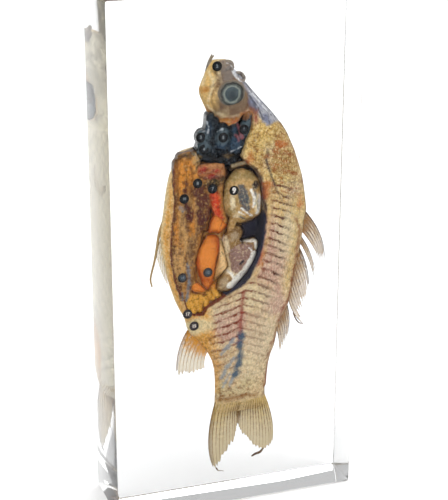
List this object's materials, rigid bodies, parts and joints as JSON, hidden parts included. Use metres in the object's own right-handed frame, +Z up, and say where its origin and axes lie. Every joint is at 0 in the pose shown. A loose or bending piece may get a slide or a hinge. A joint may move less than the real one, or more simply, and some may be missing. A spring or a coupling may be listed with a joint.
{
  "type": "fish specimen in resin block",
  "caption": "Tall clear resin block that stands on its end, with a dissected carp and its number tags cast inside.",
  "frame": {"origin": "middle of the block's bottom face, on the surface it stands on", "axes": "+Z up along the fish, towards its head; +X to the right along the front face, towards the fish's back; +Y from the front face to the back face"},
  "size_m": [0.098, 0.032, 0.2],
  "materials": {
    "resin": "clear, polished",
    "fish": "preserved skin and muscle, tan and yellow, sealed under resin",
    "gills": "dark blue-black, wet-looking",
    "heart": "orange-red tissue",
    "gut": "brown and yellow folds",
    "ovary": "orange roe, finely grained",
    "swim_bladder": "pale, glassy skin",
    "tag": "dark printed disc with a pale number"
  },
  "bodies": {
    "root": {"resin_front": "resin", "resin_back": "resin", "fish": "fish", "gills": "gills", "heart": "heart", "gut": "gut", "ovary": "ovary", "swim_bladder": "swim_bladder", "tag_01": "tag", "tag_02": "tag", "tag_03": "tag", "tag_04": "tag", "tag_05": "tag", "tag_06": "tag", "tag_07": "tag", "tag_08": "tag", "tag_09": "tag", "tag_10": "tag", "tag_11": "tag", "tag_12": "tag", "tag_13": "tag"}
  },
  "joints": []
}
